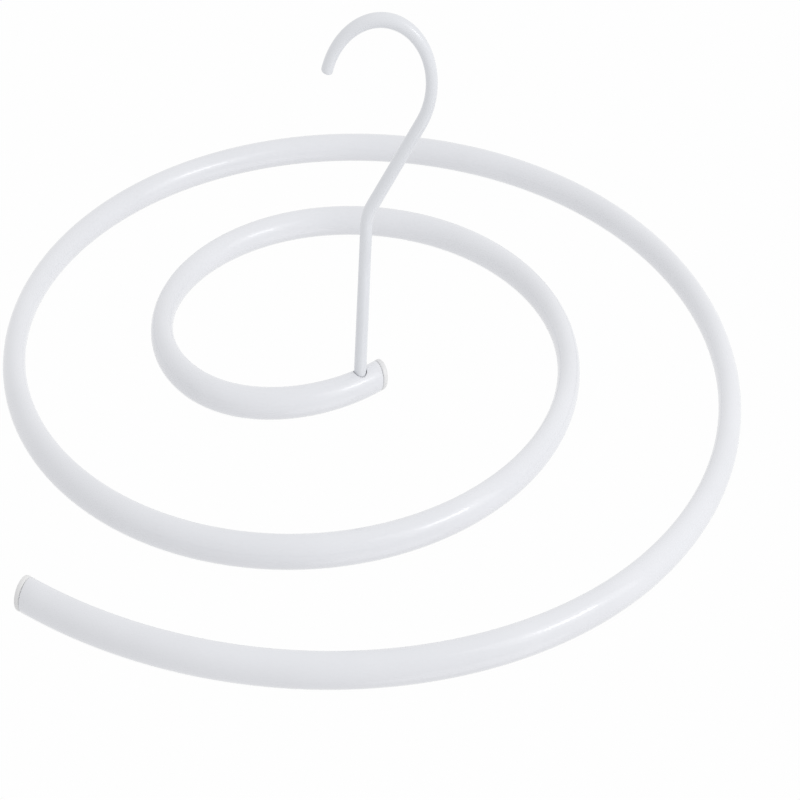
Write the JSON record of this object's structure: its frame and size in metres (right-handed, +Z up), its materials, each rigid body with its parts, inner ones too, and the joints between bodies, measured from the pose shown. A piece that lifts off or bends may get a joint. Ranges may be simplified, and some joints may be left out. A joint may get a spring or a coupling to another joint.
{
  "type": "spiral drying rack",
  "caption": "Flat spiral of coated steel tube that turns freely under a bent wire hook, for airing sheets and towels draped along its turns.",
  "frame": {"origin": "the point inside the top of the hook's loop that rests on the rail", "axes": "+Z up. The hook lies in the XZ plane and opens towards -X. The spiral lies level below it and winds outwards clockwise as seen from above."},
  "size_m": [0.42, 0.447, 0.1769],
  "materials": {
    "white_coat": "glossy white powder coat",
    "white_plastic": "satin moulded",
    "zinc_plate": "bright zinc plate"
  },
  "bodies": {
    "hook": {"hook": "white_coat", "retaining_washer": "zinc_plate", "lock_nut": "zinc_plate"},
    "rack": {"spiral_tube": "white_coat", "inner_end_cap": "white_plastic", "outer_end_cap": "white_plastic"}
  },
  "joints": [
    {"name": "hook_swivel", "type": "hinge", "parent": "hook", "child": "rack", "pos_m": [-0.0035, 0, -0.16367], "axis": [0, 0, 1], "continuous": true}
  ]
}
